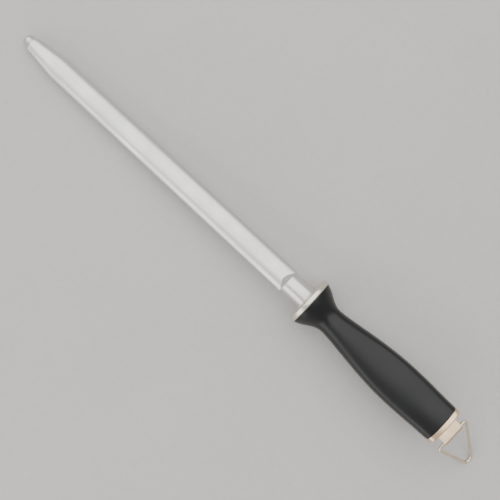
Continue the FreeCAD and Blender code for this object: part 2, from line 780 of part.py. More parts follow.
def make_hanging_ring():
    """One bent wire, skewed, with its two ends meeting inside the strap."""
    body = new_body("hanging_ring")
    corner = size("ring_corner_round")
    apex = size("ring_apex_round")
    edge = size("strap_half_width")
    high_corner = edge + size("ring_high_side") - corner
    low_corner = edge + size("ring_low_side") - corner
    leg_end = edge + size("ring_leg_gap")
    bends = [
        (corner, high_corner, corner),
        (size("ring_length") - apex, -size("ring_apex_offset"), apex),
        (size("ring_low_setback"), -low_corner, corner),
        (corner, -leg_end, corner),
    ]
    path = new_sketch(body, "wire_path", "XY_Plane")
    points = [[bend[0].value, bend[1].value, bend[2].value] for bend in bends]
    turns = []
    for here, after in zip(points, points[1:] + points[:1]):
        turns.append(outside_tangent(here, after))
    arcs = []
    for number, point in enumerate(points):
        start = turns[number]
        end = turns[number - 1]
        arcs.append(add_arc(path, point[0], point[1], point[2], start, end))
    lines = []
    for number in range(len(points) - 1):
        lines.append(add_tangent_line(path, points[number], points[number + 1], turns[number]))
    gap = size("ring_wire_gap")
    low_end = add_line(path, (ZERO, -leg_end), (ZERO, -gap))
    high_end = add_line(path, (ZERO, gap), (ZERO, high_corner))
    for line, first, second in zip(lines, arcs, arcs[1:]):
        path.addConstraint(Sketcher.Constraint("Tangent", line, 1, first, 1))
        path.addConstraint(Sketcher.Constraint("Tangent", line, 2, second, 2))
    path.addConstraint(Sketcher.Constraint("Tangent", low_end, 1, arcs[-1], 1))
    path.addConstraint(Sketcher.Constraint("Tangent", high_end, 2, arcs[0], 2))
    for arc, (across, up, radius) in zip(arcs, bends):
        hold(path, "DistanceX", arc, 3, across)
        hold(path, "DistanceY", arc, 3, up)
        hold_radius(path, arc, radius)
    for line, point, place in ((low_end, 2, -gap), (high_end, 1, gap)):
        hold(path, "DistanceX", line, point, ZERO)
        hold(path, "DistanceY", line, point, place)
    section = new_sketch(body, "wire_section", "XZ_Plane", -gap)
    add_circle(section, ZERO, ZERO, size("wire_radius"))
    doc.recompute()
    wire = body.newObject("PartDesign::AdditivePipe", "bent_wire")
    wire.Profile = section
    wire.Spine = (path, [])
    lean = ring_lean()
    turn = FreeCAD.Rotation(FreeCAD.Vector(0, 1, 0), lean.value)
    body.Placement = FreeCAD.Placement(FreeCAD.Vector(pivot_x.value, 0, 0), turn)
    bind(body, "Placement.Base.x", pivot_x)
    bind(body, "Placement.Rotation.Angle", lean)
    return body


def outside_tangent(here, after):
    """Direction, in degrees, from each bend's centre to the belt line between them."""
    across = after[0] - here[0]
    up = after[1] - here[1]
    heading = math.degrees(math.atan2(up, across))
    lean = math.degrees(math.asin((here[2] - after[2]) / math.hypot(across, up)))
    return heading + 90 - lean


def add_tangent_line(sketch, here, after, turn):
    side = FreeCAD.Vector(math.cos(math.radians(turn)), math.sin(math.radians(turn)), 0)
    start = FreeCAD.Vector(here[0], here[1], 0) + side * here[2]
    end = FreeCAD.Vector(after[0], after[1], 0) + side * after[2]
    return sketch.addGeometry(Part.LineSegment(start, end), False)


# ---------------------------------------------------------------- build, check, write


def check_document():
    """Stop if any object of the document failed to build."""
    for item in doc.Objects:
        if "Invalid" in item.State or "Error" in item.State:
            raise RuntimeError(item.Name + " failed: " + str(item.State))


def check_shape(node):
    """Stop if a piece has no shape, or one that isn't closed and sound."""
    shape = node.Shape
    if shape.isNull() or not shape.isValid() or not shape.Solids:
        raise RuntimeError(node.Label + " has no sound solid")
    for solid in shape.Solids:
        if solid.Volume <= 0:
            raise RuntimeError(node.Label + " is inside out")


NODES = [
    make_steel_rod(),
    make_hand_guard(),
    make_handle_grip(),
    make_tang_washer(),
    make_tang_nut(),
    make_end_cap(),
    make_cap_screws(),
    make_ring_strap(),
    make_hanging_ring(),
]
doc.recompute()
check_document()
for piece in NODES:
    check_shape(piece)

os.makedirs("parts", exist_ok=True)
for piece in NODES:
    piece.Shape.exportStep(os.path.join("parts", piece.Label + ".step"))
    print(piece.Label, round(piece.Shape.Volume, 1), "mm3,", len(piece.Shape.Solids), "solid")
print("ring lean", round(ring_lean().value, 2), "degrees")
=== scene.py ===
"""A butcher's sharpening steel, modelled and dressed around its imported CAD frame."""

import logging
import math
from collections.abc import Callable, Iterable
from dataclasses import dataclass
from enum import Enum

import bmesh
import bpy
from mathutils import Matrix, Vector


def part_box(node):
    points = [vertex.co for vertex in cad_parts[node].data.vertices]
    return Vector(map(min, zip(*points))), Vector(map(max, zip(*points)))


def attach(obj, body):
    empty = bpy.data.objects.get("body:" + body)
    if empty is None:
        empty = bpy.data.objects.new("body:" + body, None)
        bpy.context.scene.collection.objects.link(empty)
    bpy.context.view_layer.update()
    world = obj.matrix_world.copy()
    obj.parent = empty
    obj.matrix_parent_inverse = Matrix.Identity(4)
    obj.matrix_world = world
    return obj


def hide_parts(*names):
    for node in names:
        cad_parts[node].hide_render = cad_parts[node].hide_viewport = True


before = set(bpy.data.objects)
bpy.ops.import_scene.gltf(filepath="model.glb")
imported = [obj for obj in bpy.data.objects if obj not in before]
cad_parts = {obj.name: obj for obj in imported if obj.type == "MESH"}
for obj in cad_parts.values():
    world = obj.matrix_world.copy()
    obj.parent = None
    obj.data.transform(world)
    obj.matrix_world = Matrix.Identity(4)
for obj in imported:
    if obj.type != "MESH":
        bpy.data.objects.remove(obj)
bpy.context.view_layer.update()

LOG = logging.getLogger("sharpening_steel")
MM = 0.001
SKIN = 0.01 * MM
TOUCH = 1e-6
SAME_PLACE = 1e-7
FRONT_DEG = 180.0
REAR_DEG = 90.0

Point = tuple[float, float, float]
Station = tuple[float, float, float]
Colour = tuple[float, float, float, float]


class Body(Enum):
    """The two rigid bodies of the frame."""

    STEEL = "steel"
    RING = "ring"


class Slot(Enum):
    """The record's material slots."""

    ROD = "rod_steel"
    PLATED = "bright_plated_steel"
    HANDLE = "moulded_handle"
    ZINC = "zinc_plated_steel"
    WIRE = "ring_wire"


# ------------------------------------------------------------------ materials


def linear(hex_colour: str) -> Colour:
    """Turn an sRGB hex colour into linear light.

    Args:
        hex_colour: six hex digits, such as "c8c4bc".

    Returns:
        Red, green, blue and an alpha of one.
    """
    channels = [int(hex_colour[i : i + 2], 16) / 255 for i in (0, 2, 4)]
    red, green, blue = (
        c / 12.92 if c <= 0.04045 else ((c + 0.055) / 1.055) ** 2.4 for c in channels
    )
    return (red, green, blue, 1.0)


def add_node(
    tree: bpy.types.NodeTree, kind: str, inputs: dict[str, object], **settings: object
) -> bpy.types.Node:
    """Add one shader node with its settings, values and links.

    Args:
        tree: the node tree that the node goes into.
        kind: the node's type, such as "ShaderNodeMapping".
        inputs: a value, or the socket to link from, for each named input.
        settings: the node's own properties.

    Returns:
        The new node.
    """
    node = tree.nodes.new(kind)
    for name, value in settings.items():
        setattr(node, name, value)
    for name, value in inputs.items():
        if isinstance(value, bpy.types.NodeSocket):
            tree.links.new(value, node.inputs[name])
        else:
            node.inputs[name].default_value = value
    return node


@dataclass(frozen=True)
class Finish:
    """A surface finish: its base colour, shader values and two scales of pattern.

    The grain is a noise whose size is given in real millimetres along each axis, so
    that a grain long in X and short in Y and Z reads as lines along the rod.
    """

    name: str
    colour: str
    dark: str
    metallic: float
    roughness: tuple[float, float]
    grain_mm: Point
    grain_depth_mm: float
    smudge_mm: float
    ior: float | None = None
    bump: float = 1.0
    smudge_share: float = 0.25
    smudge_range: tuple[float, float] = (0.3, 0.7)
    tint_range: tuple[float, float] = (0.15, 0.6)

    def make(self) -> bpy.types.Material:
        """Build the finish as a node material.

        Returns:
            The material, ready for a slot.
        """
        material = bpy.data.materials.new(self.name)
        material.use_nodes = True
        tree = material.node_tree
        tree.nodes.clear()
        place = add_node(tree, "ShaderNodeTexCoord", {}).outputs["Object"]
        grain = self.grain(tree, place)
        smudge = self.smudge(tree, place)
        colour = self.tint(tree, grain, smudge)
        shine = add_node(
            tree, "ShaderNodeMapRange",
            {"Value": smudge, "To Min": self.roughness[0], "To Max": self.roughness[1]},
        ).outputs["Result"]
        relief = add_node(
            tree, "ShaderNodeBump",
            {"Height": grain, "Strength": self.bump, "Distance": self.grain_depth_mm * MM},
        ).outputs["Normal"]
        shader = add_node(
            tree, "ShaderNodeBsdfPrincipled",
            {"Base Color": colour, "Metallic": self.metallic, "Roughness": shine, "Normal": relief},
        )
        if self.ior is not None:
            shader.inputs["IOR"].default_value = self.ior
        add_node(tree, "ShaderNodeOutputMaterial", {"Surface": shader.outputs["BSDF"]})
        return material

    def grain(
        self, tree: bpy.types.NodeTree, place: bpy.types.NodeSocket
    ) -> bpy.types.NodeSocket:
        """The fine pattern, sized in millimetres along each axis.

        Args:
            tree: the material's node tree.
            place: the socket that gives the place on the piece.

        Returns:
            The socket that gives the grain, from 0 to 1.
        """
        scale = tuple(1.0 / (size * MM) for size in self.grain_mm)
        spread = add_node(tree, "ShaderNodeMapping", {"Vector": place, "Scale": scale})
        noise = add_node(
            tree, "ShaderNodeTexNoise",
            {"Vector": spread.outputs["Vector"], "Scale": 1.0, "Detail": 3.0, "Roughness": 0.6},
        )
        return noise.outputs["Fac"]

    def smudge(
        self, tree: bpy.types.NodeTree, place: bpy.types.NodeSocket
    ) -> bpy.types.NodeSocket:
        """Broad soft patches, as handling and wiping leave them.

        Args:
            tree: the material's node tree.
            place: the socket that gives the place on the piece.

        Returns:
            The socket that gives the patches, from 0 to 1.
        """
        noise = add_node(
            tree, "ShaderNodeTexNoise",
            {"Vector": place, "Scale": 1.0 / (self.smudge_mm * MM), "Detail": 4.0},
        )
        faint, strong = self.smudge_range
        return add_node(
            tree, "ShaderNodeMapRange",
            {"Value": noise.outputs["Fac"], "From Min": faint, "From Max": strong},
        ).outputs["Result"]

    def tint(
        self, tree: bpy.types.NodeTree, grain: bpy.types.NodeSocket, smudge: bpy.types.NodeSocket
    ) -> bpy.types.NodeSocket:
        """The base colour, a little darker in the grain's hollows and in the smudges.

        Args:
            tree: the material's node tree.
            grain: the fine pattern's socket.
            smudge: the broad patches' socket.

        Returns:
            The socket that gives the colour.
        """
        share = add_node(
            tree, "ShaderNodeMath", {0: smudge, 1: self.smudge_share}, operation="MULTIPLY"
        )
        wiped = add_node(
            tree, "ShaderNodeMath", {0: grain, 1: share.outputs["Value"]}, operation="SUBTRACT"
        )
        ramp = add_node(tree, "ShaderNodeValToRGB", {"Fac": wiped.outputs["Value"]})
        for stop, place, shade in zip(
            ramp.color_ramp.elements, self.tint_range, (self.dark, self.colour)
        ):
            stop.position = place
            stop.color = linear(shade)
        return ramp.outputs["Color"]


# Hard chromed tool steel, ground and grooved lengthwise: a pale satin, drawn out into
# fine lines along the rod.  The lines are 0.35 mm wide so that they show.
FLUTED_STEEL = Finish(
    "chromed_fluted_steel", "e6e4df", "d0cec9", 1.0, (0.32, 0.42),
    (60.0, 0.35, 0.35), 0.012, 22.0,
)
# The same steel, polished bare at the tip and turned at the neck: fine rings round it.
POLISHED_STEEL = Finish(
    "polished_turned_steel", "dedbd4", "ccc8c0", 1.0, (0.3, 0.4),
    (0.3, 6.0, 6.0), 0.003, 16.0,
)
# Nickel plate over turned steel: a bright satin, faintly warm, with wiped smudges.
NICKEL_PLATE = Finish(
    "nickel_plated_steel", "e2dccd", "d3ccbc", 1.0, (0.26, 0.38),
    (2.0, 0.5, 0.5), 0.003, 12.0,
)
# Nickel plated sheet, pressed and folded, with a rolled grain: its own colour is the faintly warm
# nickel of the turned parts, and the peach that makes it warmer than them is a painted warm
# reflection.
SHEET_PAINTED_WARM_REFLECTION = Finish(
    "nickel_sheet_painted_warm_reflection", "ecd0ae", "dabd9b", 1.0, (0.26, 0.38),
    (0.6, 5.0, 0.6), 0.004, 8.0,
)
# Drawn steel wire, nickel plated and handled: warm and pale, with a grain along it.
DRAWN_WIRE = Finish(
    "drawn_plated_wire", "ecdcc2", "d2c2a8", 1.0, (0.26, 0.38),
    (3.0, 0.5, 0.5), 0.006, 6.0,
)
# Zinc plate on standard fasteners: grey, slightly blue and cloudy.
ZINC_PLATE = Finish(
    "zinc_plated_steel", "b9bdc0", "9da2a6", 1.0, (0.3, 0.45),
    (0.8, 0.8, 0.8), 0.006, 4.0,
)
# Moulded polypropylene: black, a fine eroded mould texture and a soft satin gloss.
# Its IOR is set a little under the plastic's 1.49, so that its top looks as dark as it is.
MOULDED_BLACK = Finish(
    "moulded_black_polypropylene", "0d0d0c", "090908", 0.0, (0.3, 0.4),
    (0.45, 0.45, 0.45), 0.012, 30.0, 1.42,
)
# A painted board under the steel: pale grey, matt and even.
PALE_BOARD = Finish(
    "pale_painted_board", "b2b0ac", "adaba7", 0.0, (0.7, 0.85),
    (4.0, 4.0, 4.0), 0.01, 120.0, 1.45,
)


def dress(piece: bpy.types.Object, *finishes: Finish) -> None:
    """Give a piece its finishes, one material slot each.

    Args:
        piece: the piece to dress.
        finishes: the finishes, in the order of the material slots.
    """
    piece.data.materials.clear()
    for finish in finishes:
        ready = bpy.data.materials.get(finish.name)
        piece.data.materials.append(ready or finish.make())


# ------------------------------------------------------------------ modelling bench


def let_go() -> None:
    """Leave edit mode and deselect every object."""
    if bpy.context.object is not None and bpy.context.object.mode != "OBJECT":
        bpy.ops.object.mode_set(mode="OBJECT")
    bpy.ops.object.select_all(action="DESELECT")


def take(piece: bpy.types.Object) -> None:
    """Make one piece the only selected and active object.

    Args:
        piece: the piece to take in hand.
    """
    let_go()
    piece.select_set(True)
    bpy.context.view_layer.objects.active = piece


def settle(piece: bpy.types.Object, smooth_deg: float = 35.0) -> bpy.types.Object:
    """Finish a piece's mesh: doubles merged, faces outwards, place in the mesh.

    Args:
        piece: the piece, in or out of edit mode.
        smooth_deg: edges flatter than this are shaded smooth.

    Returns:
        The same piece, at the origin, unturned and unscaled.
    """
    take(piece)
    bpy.ops.object.transform_apply(location=True, rotation=True, scale=True)
    bpy.ops.object.mode_set(mode="EDIT")
    bpy.ops.mesh.select_all(action="SELECT")
    bpy.ops.mesh.remove_doubles(threshold=TOUCH)
    bpy.ops.mesh.normals_make_consistent(inside=False)
    bpy.ops.object.mode_set(mode="OBJECT")
    bpy.ops.object.shade_smooth_by_angle(angle=math.radians(smooth_deg))
    return piece


def apply_modifier(piece: bpy.types.Object, kind: str, **settings: object) -> None:
    """Add a modifier with its settings and apply it.

    Args:
        piece: the piece that it changes.
        kind: the modifier's type, such as "BEVEL".
        settings: the modifier's own properties.
    """
    take(piece)
    modifier = piece.modifiers.new(kind.lower(), kind)
    for name, value in settings.items():
        setattr(modifier, name, value)
    bpy.ops.object.modifier_apply(modifier=modifier.name)


def combine(piece: bpy.types.Object, tool: bpy.types.Object, how: str) -> None:
    """Unite a piece with a tool, or cut it with one, and throw the tool away."""
    apply_modifier(piece, "BOOLEAN", object=tool, operation=how, solver="EXACT")
    bpy.data.objects.remove(tool)


def pick_edges(piece: bpy.types.Object, test: Callable[[Vector, Vector], bool]) -> int:
    """Select the edges, in edit mode, whose two ends pass a test.

    Args:
        piece: the piece being edited, at the origin and unturned.
        test: takes both ends of an edge and says whether to select it.

    Returns:
        How many edges were selected.
    """
    bpy.ops.mesh.select_all(action="DESELECT")
    bpy.ops.mesh.select_mode(type="EDGE")
    shape = bmesh.from_edit_mesh(piece.data)
    chosen = [edge for edge in shape.edges if test(edge.verts[0].co, edge.verts[1].co)]
    for edge in chosen:
        edge.select_set(True)
    bmesh.update_edit_mesh(piece.data)
    return len(chosen)


def pick_verts(piece: bpy.types.Object, test: Callable[[Vector], bool]) -> int:
    """Select the vertices, in edit mode, whose place passes a test.

    Args:
        piece: the piece being edited, at the origin and unturned.
        test: takes a vertex's place and says whether to select it.

    Returns:
        How many vertices were selected.
    """
    bpy.ops.mesh.select_all(action="DESELECT")
    bpy.ops.mesh.select_mode(type="VERT")
    shape = bmesh.from_edit_mesh(piece.data)
    chosen = [vertex for vertex in shape.verts if test(vertex.co)]
    for vertex in chosen:
        vertex.select_set(True)
    shape.select_flush(True)
    bmesh.update_edit_mesh(piece.data)
    return len(chosen)


def block(name: str, near: Point, far: Point) -> bpy.types.Object:
    """A box between two corners, its place in the mesh.

    Args:
        name: the piece's name.
        near: the lowest corner.
        far: the highest corner.

    Returns:
        The box, to be cut, rounded or joined.
    """
    let_go()
    middle = [(a + b) / 2 for a, b in zip(near, far)]
    spread = [b - a for a, b in zip(near, far)]
    bpy.ops.mesh.primitive_cube_add(size=1.0, location=middle, scale=spread)
    piece = bpy.context.object
    piece.name = name
    piece.data.name = name
    bpy.ops.object.transform_apply(location=True, rotation=True, scale=True)
    return piece


def bevel_edges(
    piece: bpy.types.Object, test: Callable[[Vector, Vector], bool], width: float, steps: int
) -> None:
    """Round the edges that pass a test.

    Args:
        piece: the piece, at the origin and unturned.
        test: takes both ends of an edge and says whether to round it.
        width: the rounding's radius.
        steps: how many faces it gets.
    """
    take(piece)
    bpy.ops.object.mode_set(mode="EDIT")
    pick_edges(piece, test)
    bpy.ops.mesh.bevel(offset=width, segments=steps, affect="EDGES")
    let_go()


def draw_tight(piece: bpy.types.Object, node: str) -> None:
    """Draw a wide tube in along its own normals until it lies on a CAD node.

    Args:
        piece: the tube, wider than the node all along.
        node: the CAD node's name.
    """
    let_go()
    apply_modifier(
        piece, "SHRINKWRAP", target=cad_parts[node], wrap_method="PROJECT",
        use_negative_direction=True, use_positive_direction=True,
    )


def draw_end(piece: bpy.types.Object, place: float, steps: Iterable[Station]) -> None:
    """Close one open end of a tube by drawing it in, or on, step by step.

    Args:
        piece: the tube.
        place: where the open end is along X.
        steps: for each step, how far on along X, and the two factors across.
    """
    take(piece)
    bpy.ops.object.mode_set(mode="EDIT")
    pick_verts(piece, lambda at: abs(at.x - place) < 2 * TOUCH)
    for along, factor_y, factor_z in steps:
        bpy.ops.mesh.extrude_region_move(TRANSFORM_OT_translate={"value": (along, 0, 0)})
        place += along
        bpy.ops.transform.resize(
            value=(1.0, factor_y, factor_z), center_override=(place, 0, 0)
        )
    bpy.ops.mesh.edge_face_add()
    let_go()


class Tube:
    """A tube grown ring by ring along X, each new ring extruded and scaled."""

    def __init__(self, name: str, count: int, first: Station) -> None:
        """Start with an open ring of vertices.

        Args:
            name: the piece's name.
            count: vertices in each ring.
            first: the first ring's x, half width in Y and half height in Z.
        """
        let_go()
        self.at, self.half_y, self.half_z = first
        bpy.ops.mesh.primitive_circle_add(
            vertices=count, radius=1.0, fill_type="NOTHING", align="WORLD",
            location=(self.at, 0, 0), rotation=(0, math.pi / 2, 0),
        )
        self.piece = bpy.context.object
        self.piece.name = name
        self.piece.data.name = name
        bpy.ops.object.transform_apply(location=True, rotation=True, scale=True)
        bpy.ops.object.mode_set(mode="EDIT")
        bpy.ops.mesh.select_mode(type="VERT")
        bpy.ops.mesh.select_all(action="SELECT")
        self.resize(self.half_y, self.half_z)

    def resize(self, factor_y: float, factor_z: float) -> None:
        """Scale what is selected about the axis.

        Args:
            factor_y: the factor across, in Y.
            factor_z: the factor up, in Z.
        """
        bpy.ops.transform.resize(
            value=(1.0, factor_y, factor_z), center_override=(self.at, 0, 0)
        )

    def grow(self, stations: Iterable[Station]) -> "Tube":
        """Extrude the open end through more rings.

        Args:
            stations: each ring's x, half width in Y and half height in Z.

        Returns:
            The tube itself, so that calls can follow each other.
        """
        for at, half_y, half_z in stations:
            bpy.ops.mesh.extrude_region_move(
                TRANSFORM_OT_translate={"value": (at - self.at, 0, 0)}
            )
            self.at = at
            self.resize(half_y / self.half_y, half_z / self.half_z)
            self.half_y, self.half_z = half_y, half_z
        return self

    def scale_alternate(self, factor: float) -> None:
        """Scale every second vertex of the open end, to start or end the flutes.

        Args:
            factor: under 1 sinks the hollows between the flutes, and over 1 raises them.
        """
        shape = bmesh.from_edit_mesh(self.piece.data)
        ring = [vertex for vertex in shape.verts if vertex.select]
        ring.sort(key=lambda vertex: math.atan2(vertex.co.z, vertex.co.y))
        for vertex in ring[::2]:
            vertex.select_set(False)
        shape.select_flush(False)
        bmesh.update_edit_mesh(self.piece.data)
        self.resize(factor, factor)
        shape = bmesh.from_edit_mesh(self.piece.data)
        for vertex in shape.verts:
            vertex.select_set(abs(vertex.co.x - self.at) < SAME_PLACE)
        shape.select_flush(True)
        bmesh.update_edit_mesh(self.piece.data)

    def cap_both(self) -> bpy.types.Object:
        """Close both open ends with a face each.

        Returns:
            The closed piece, settled.
        """
        bpy.ops.mesh.select_all(action="DESELECT")
        bpy.ops.mesh.select_mode(type="EDGE")
        bpy.ops.mesh.select_non_manifold()
        bpy.ops.mesh.edge_face_add()
        return settle(self.piece)

    def join_ends(self) -> bpy.types.Object:
        """Join the last ring to the first, for a piece with a hole through it.

        Returns:
            The closed piece, settled.
        """
        bpy.ops.mesh.select_all(action="DESELECT")
        bpy.ops.mesh.select_mode(type="EDGE")
        bpy.ops.mesh.select_non_manifold()
        bpy.ops.mesh.bridge_edge_loops()
        return settle(self.piece)


def quarter(
    centre_x: float, half_y: float, half_z: float, radius: float,
    start_deg: float, steps: int = 6,
) -> list[Station]:
    """Rings that round a corner by a quarter circle.

    Args:
        centre_x: the quarter circle's centre along X.
        half_y: half width at the centre, before the radius is added.
        half_z: half height at the centre, before the radius is added.
        radius: the corner's radius.
        start_deg: where it starts; 0 is +X, 90 is outwards, and it turns towards 90
            from 180 (a front corner) or from 90 to 0 (a rear corner).
        steps: how many rings after the first.

    Returns:
        The stations, first and last included.
    """
    rings = []
    for step in range(steps + 1):
        angle = math.radians(start_deg - 90.0 * step / steps)
        out = radius * math.sin(angle)
        rings.append((centre_x + radius * math.cos(angle), half_y + out, half_z + out))
    return rings


def round_rings(profile: Iterable[tuple[float, float]]) -> list[Station]:
    """Stations of a turned shape, from its x and radius pairs."""
    return [(x, radius, radius) for x, radius in profile]


def low(node: str) -> Vector:
    """Lowest corner of a CAD node."""
    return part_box(node)[0]


def high(node: str) -> Vector:
    """Highest corner of a CAD node."""
    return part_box(node)[1]


# ------------------------------------------------------------------ the rod


@dataclass
class SteelRod:
    """The forged rod: fluted oval, short taper, bare tip, round neck and the tang."""

    flutes: int = 96
    flute_scale: float = 0.994
    side_thick: float = 5.4 * MM
    thin_half: tuple[float, float] = (9.35 * MM, 5.1 * MM)
    taper_half: tuple[float, float] = (6.15 * MM, 4.6 * MM)
    tip_half: tuple[float, float] = (5.4 * MM, 4.2 * MM)
    tip_draft: float = 0.45 * MM
    tip_length: float = 7.4 * MM
    taper_length: float = 28.0 * MM
    nose_round: float = 2.9 * MM
    neck_length: float = 18.7 * MM
    neck_radius: float = 8.9 * MM
    cone_length: float = 5.0 * MM
    cone_radius: float = 5.0 * MM
    socket_depth: float = 1.6 * MM
    seat_radius: float = 7.0 * MM
    tang_side: float = 9.0 * MM
    thread_radius: float = 4.0 * MM
    thread_length: float = 19.0 * MM
    flute_run_out: float = 5.0 * MM
    flute_end_share: float = 0.6
    tip_edge: float = 0.3 * MM
    start_swell: float = 1.03
    heel_edge: float = 0.35 * MM
    neck_edge: float = 0.25 * MM
    neck_edge_rings: tuple[tuple[float, float], ...] = ((1.0, 0.8), (0.3, 0.2))
    seat_step: float = 0.025 * MM
    neck_ring: float = -6.0 * MM
    seat_overlap: float = 2.5 * MM
    tang_overlap: float = 2.0 * MM
    tang_edge: float = 0.4 * MM
    thread_pitch: float = 1.25 * MM
    thread_root_share: float = 0.84
    thread_chamfer: float = 0.8 * MM
    turned_count: int = 96
    thread_count: int = 32
    cone_slope: float = 0.3

    def build(self) -> bpy.types.Object:
        """Model the rod in one piece.

        Returns:
            The rod, dressed, with polished faces at the tip and the neck.
        """
        blade = self.build_blade()
        combine(blade, self.build_neck(), "UNION")
        self.add_tang(blade)
        settle(blade, smooth_deg=30.0)
        dress(blade, FLUTED_STEEL, POLISHED_STEEL)
        self.polish_ends(blade)
        return blade

    def build_blade(self) -> bpy.types.Object:
        """The oval sharpening length, its taper and the bare tip.

        Returns:
            The fluted blank, closed at both ends.
        """
        tip = low("steel_rod").x
        wide = high("steel_rod").y
        root = tip + self.tip_length
        taper = root + self.taper_length
        nose_y = self.tip_half[0] - self.tip_draft - self.nose_round
        nose_z = self.tip_half[1] - self.tip_draft - self.nose_round
        rings = quarter(tip + self.nose_round, nose_y, nose_z, self.nose_round, FRONT_DEG)
        tube = Tube("steel_rod_fluted", self.flutes * 2, rings[0])
        tube.grow(rings[1:])
        tip_y, tip_z = self.tip_half
        taper_y, taper_z = self.taper_half
        soft = self.tip_edge
        tube.grow([
            (root - soft, tip_y, tip_z),
            (root, tip_y + soft / 2, tip_z + soft / 4),
            (root + soft, taper_y, taper_z),
            (root + self.flute_run_out / 2, taper_y * self.start_swell, taper_z),
        ])
        tube.grow([self.on_taper(root, self.flute_run_out)])
        tube.scale_alternate(self.flute_scale)
        tube.grow([(taper, *self.thin_half)])
        face = -self.neck_length
        tube.grow([(face - self.flute_run_out, wide, self.side_thick)])
        last = self.flute_run_out * self.flute_end_share
        tube.grow([(face - last, wide, self.side_thick)])
        tube.scale_alternate(1.0 / self.flute_scale)
        tube.grow([
            (face - self.heel_edge, wide, self.side_thick),
            (face, wide - self.heel_edge, self.side_thick - self.heel_edge),
        ])
        return tube.cap_both()

    def on_taper(self, root: float, along: float) -> Station:
        """A ring on the straight taper, some way behind its front end.

        Args:
            root: where the taper starts along X.
            along: how far behind that the ring is.

        Returns:
            The ring's station.
        """
        share = along / self.taper_length
        half = [
            small + (large - small) * share
            for small, large in zip(self.taper_half, self.thin_half)
        ]
        return (root + along, half[0], half[1])

    def build_neck(self) -> bpy.types.Object:
        """The turned neck, the cone that runs it out, and the seat in the guard.

        Returns:
            The neck's blank, to be joined to the rod.
        """
        seat_end = high("hand_guard").x + self.seat_overlap
        edge = self.neck_edge
        face = -self.neck_length
        profile = [
            (face - self.cone_length, self.cone_radius),
            *(
                (face - edge * ahead, self.neck_radius - edge * within)
                for ahead, within in self.neck_edge_rings
            ),
            (face + edge, self.neck_radius),
            (self.neck_ring, self.neck_radius),
            (self.socket_depth, self.neck_radius),
            (self.socket_depth + self.seat_step, self.seat_radius),
            (seat_end, self.seat_radius),
        ]
        rings = round_rings(profile)
        return Tube("neck_blank", self.turned_count, rings[0]).grow(rings[1:]).cap_both()

    def add_tang(self, rod: bpy.types.Object) -> None:
        """Grow the square tang and its threaded end out of the seat's rear face.

        Args:
            rod: the rod, joined to its neck.
        """
        back = high("steel_rod").x
        shoulder = back - self.thread_length
        start = high("hand_guard").x + self.tang_overlap
        let_go()
        bpy.ops.mesh.primitive_cube_add(
            size=1.0, location=((start + shoulder) / 2, 0, 0),
            scale=(shoulder - start, self.tang_side, self.tang_side),
        )
        tang = bpy.context.object
        apply_modifier(tang, "BEVEL", width=self.tang_edge, segments=2)
        settle(tang)
        combine(rod, tang, "UNION")
        chamfer = self.thread_chamfer
        hollow = self.thread_radius * self.thread_root_share
        profile = [(shoulder - self.tang_overlap, hollow)]
        turn = shoulder
        while turn + self.thread_pitch < back - chamfer:
            profile.append((turn, hollow))
            profile.append((turn + self.thread_pitch / 2, self.thread_radius))
            turn += self.thread_pitch
        profile.append((back - chamfer, hollow))
        profile.append((back, self.thread_radius - chamfer))
        rings = round_rings(profile)
        thread = Tube("thread_blank", self.thread_count, rings[0]).grow(rings[1:]).cap_both()
        combine(rod, thread, "UNION")

    def polish_ends(self, rod: bpy.types.Object) -> None:
        """Give the faces of the bare tip and the neck the polished finish.

        Args:
            rod: the finished rod, with the fluted and the polished slot.
        """
        root = low("steel_rod").x + self.tip_length
        for face in rod.data.polygons:
            on_oval = face.center.x < -self.neck_length
            by_cone = -self.neck_length - self.cone_length < face.center.x
            on_cone = by_cone and on_oval and abs(face.normal.x) > self.cone_slope
            plain = face.center.x < root or not on_oval or on_cone
            face.material_index = 1 if plain else 0


# ------------------------------------------------------------------ guard, handle, fittings


@dataclass
class HandGuard:
    """The turned disc between neck and handle, with its low boss and soft rim."""

    rim_round: float = 1.5 * MM
    boss_radius: float = 11.6 * MM
    boss_round: float = 0.5 * MM
    socket_radius: float = 8.95 * MM
    socket_depth: float = 1.6 * MM
    bore_radius: float = 7.05 * MM
    blend: float = 0.6 * MM
    socket_edge: float = 0.15 * MM
    fine_steps: int = 4
    rim_steps: int = 8
    turned_count: int = 144

    def build(self) -> bpy.types.Object:
        """Turn the disc.

        Returns:
            The guard, dressed.
        """
        front = low("hand_guard").x
        back = high("hand_guard").x
        radius = high("hand_guard").y
        rim = radius - self.rim_round
        rings = round_rings([
            (back, self.bore_radius),
            (self.socket_depth, self.bore_radius),
            (self.socket_depth, self.socket_radius),
            (front + self.socket_edge, self.socket_radius),
            (front, self.socket_radius + self.socket_edge),
        ])
        top = self.boss_radius - self.boss_round
        rings += quarter(
            front + self.boss_round, top, top, self.boss_round, FRONT_DEG, self.fine_steps
        )
        foot = self.boss_radius + self.blend
        for step in range(1, self.fine_steps + 1):
            angle = math.radians(90.0 * step / self.fine_steps)
            across = foot - self.blend * math.cos(angle)
            along = -self.blend * (1.0 - math.sin(angle))
            rings.append((along, across, across))
        rings.append((0.0, rim, rim))
        steps = self.rim_steps
        rings += quarter(self.rim_round, rim, rim, self.rim_round, FRONT_DEG, steps)[1:]
        rings += quarter(back - self.rim_round, rim, rim, self.rim_round, REAR_DEG, steps)
        disc = Tube("hand_guard_turned", self.turned_count, rings[0]).grow(rings[1:]).join_ends()
        dress(disc, NICKEL_PLATE)
        return disc


